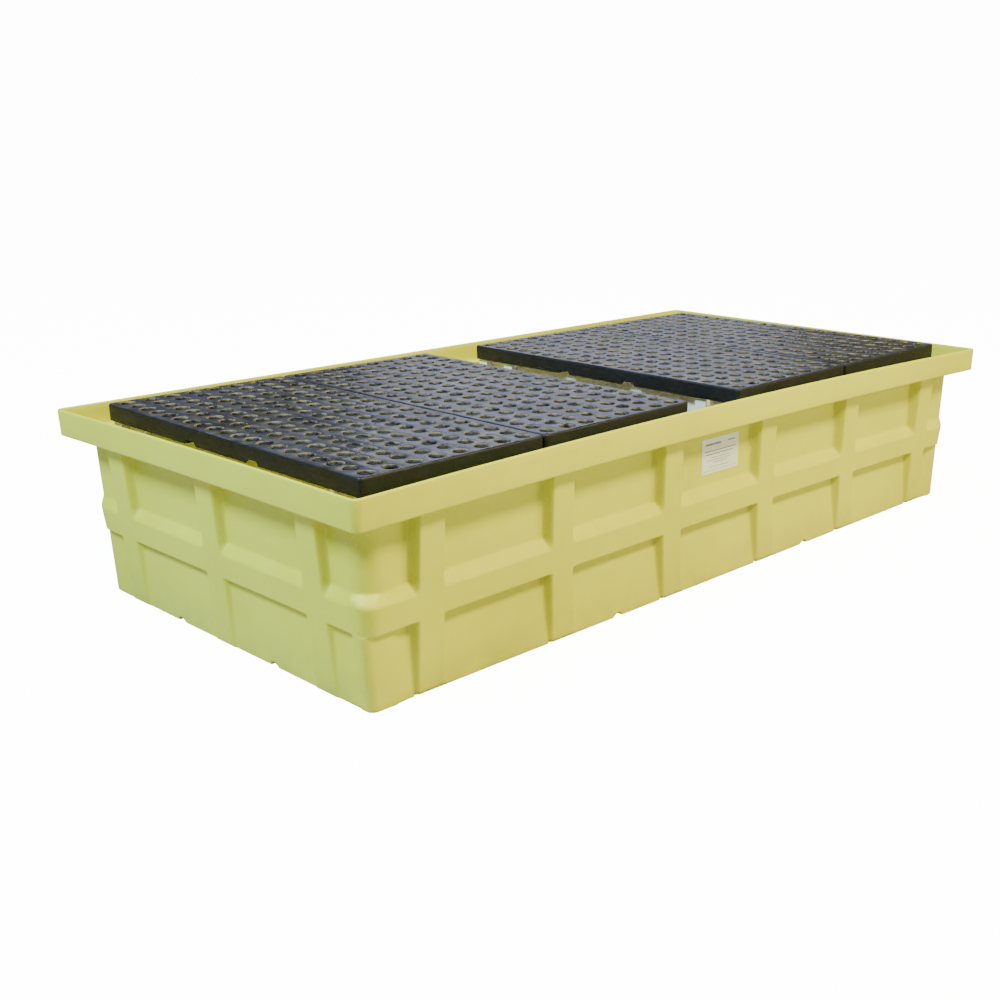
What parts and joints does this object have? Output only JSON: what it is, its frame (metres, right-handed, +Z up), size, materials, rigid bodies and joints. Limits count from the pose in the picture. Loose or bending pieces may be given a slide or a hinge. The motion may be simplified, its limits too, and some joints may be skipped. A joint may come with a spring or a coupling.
{
  "type": "spill containment pallet",
  "caption": "Low ribbed plastic sump tub with raised platforms of lift-out perforated grates on interlocking panel cribs, for standing bulk liquid containers over a spill basin.",
  "frame": {"origin": "centre of the tub's underside, on the ground", "axes": "+X along the tub's length, +Y across it, +Z up"},
  "size_m": [2.8996, 1.4816, 0.585],
  "materials": {
    "tub_plastic": "rotationally moulded polyethylene, pale yellow, faintly mottled",
    "label_film": "thin printed film, off white",
    "crib_plastic": "natural polyethylene, cream white",
    "grate_plastic": "black polyethylene, worn sheen"
  },
  "bodies": {
    "tub": {"tub": "tub_plastic", "product_label": "label_film"},
    "left_crib": {"left_crib_side_panel_outer": "crib_plastic", "left_crib_side_panel_middle": "crib_plastic", "left_crib_side_panel_inner": "crib_plastic", "left_crib_cross_panel_1": "crib_plastic", "left_crib_cross_panel_2": "crib_plastic", "left_crib_cross_panel_3": "crib_plastic", "left_crib_cross_panel_4": "crib_plastic", "left_crib_cross_panel_5": "crib_plastic", "left_crib_cross_panel_6": "crib_plastic"},
    "left_outer_grate": {"left_outer_grate": "grate_plastic"},
    "left_inner_grate": {"left_inner_grate": "grate_plastic"},
    "right_crib": {"right_crib_side_panel_outer": "crib_plastic", "right_crib_side_panel_middle": "crib_plastic", "right_crib_side_panel_inner": "crib_plastic", "right_crib_cross_panel_1": "crib_plastic", "right_crib_cross_panel_2": "crib_plastic", "right_crib_cross_panel_3": "crib_plastic", "right_crib_cross_panel_4": "crib_plastic", "right_crib_cross_panel_5": "crib_plastic", "right_crib_cross_panel_6": "crib_plastic"},
    "right_outer_grate": {"right_outer_grate": "grate_plastic"},
    "right_inner_grate": {"right_inner_grate": "grate_plastic"}
  },
  "joints": [
    {"name": "left_crib_lift", "type": "slide", "parent": "tub", "child": "left_crib", "axis": [0, 0, 1], "range_m": [0, 0.6]},
    {"name": "left_outer_grate_lift", "type": "slide", "parent": "left_crib", "child": "left_outer_grate", "axis": [0, 0, 1], "range_m": [0, 0.3]},
    {"name": "left_inner_grate_lift", "type": "slide", "parent": "left_crib", "child": "left_inner_grate", "axis": [0, 0, 1], "range_m": [0, 0.3]},
    {"name": "right_crib_lift", "type": "slide", "parent": "tub", "child": "right_crib", "axis": [0, 0, 1], "range_m": [0, 0.6]},
    {"name": "right_outer_grate_lift", "type": "slide", "parent": "right_crib", "child": "right_outer_grate", "axis": [0, 0, 1], "range_m": [0, 0.3]},
    {"name": "right_inner_grate_lift", "type": "slide", "parent": "right_crib", "child": "right_inner_grate", "axis": [0, 0, 1], "range_m": [0, 0.3]}
  ]
}
